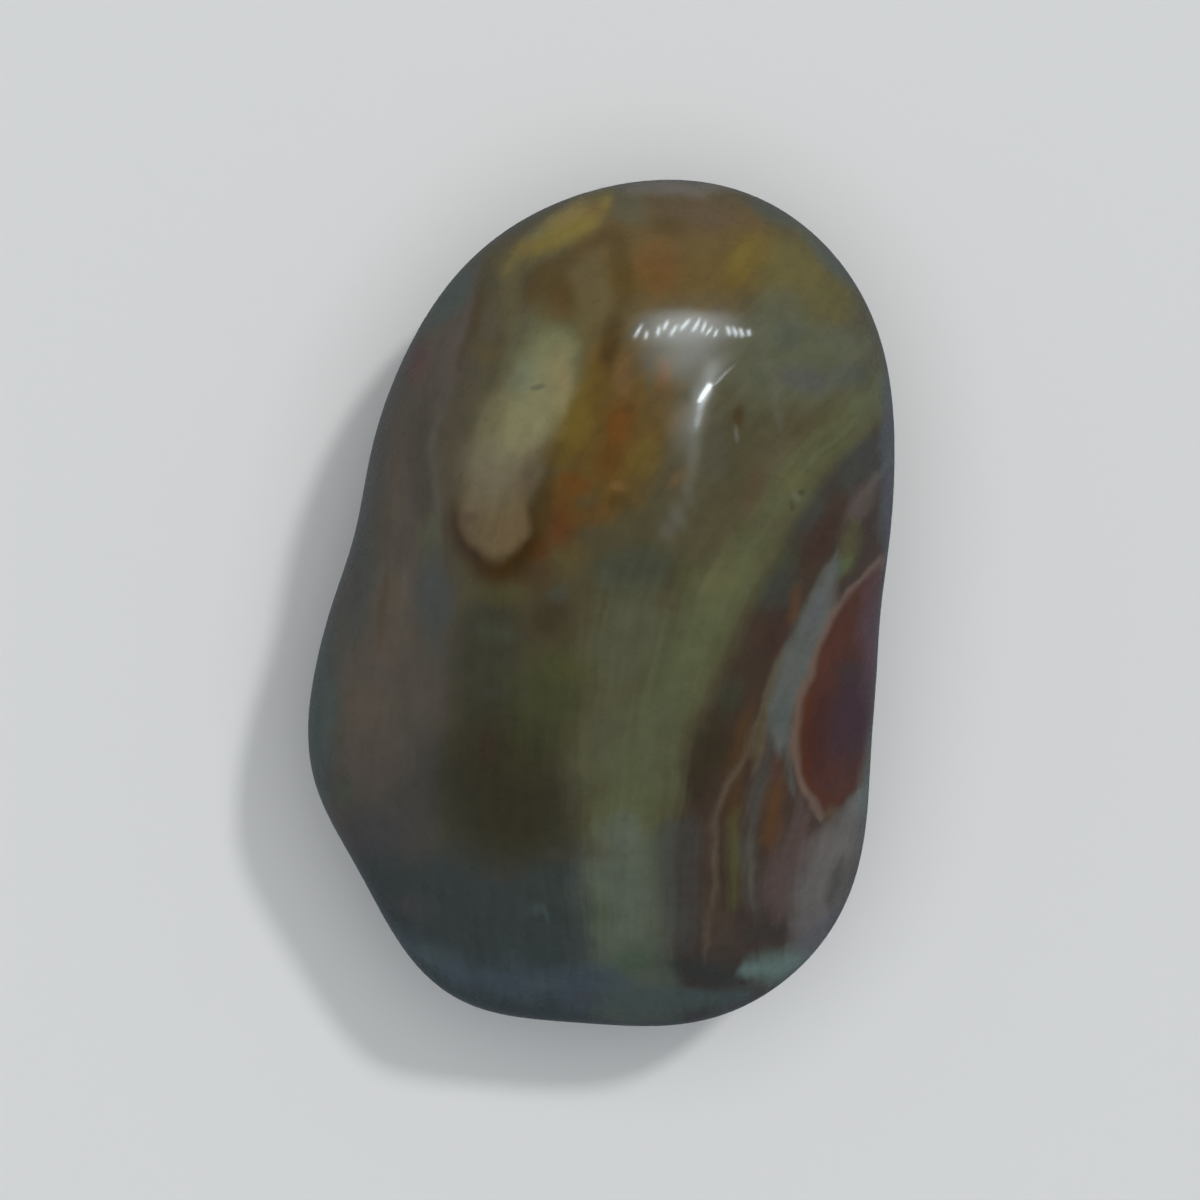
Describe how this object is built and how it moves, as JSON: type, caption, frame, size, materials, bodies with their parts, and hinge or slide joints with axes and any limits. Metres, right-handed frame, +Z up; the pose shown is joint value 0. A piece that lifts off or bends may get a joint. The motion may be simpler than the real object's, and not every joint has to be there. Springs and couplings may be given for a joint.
{
  "type": "polished stone freeform",
  "caption": "Irregular oval pebble of polished banded jasper, domed above and ground flat below, to rest on a shelf or desk as a display stone.",
  "frame": {"origin": "on the flat underside, in the middle of the stone's length and width", "axes": "+Z up out of the resting surface, through the dome; +Y along the stone's length, towards its rounded end; +X towards its straighter, steeper side"},
  "size_m": [0.0726, 0.1048, 0.0462],
  "materials": {
    "jasper": "polished"
  },
  "bodies": {
    "root": {"stone": "jasper"}
  },
  "joints": []
}
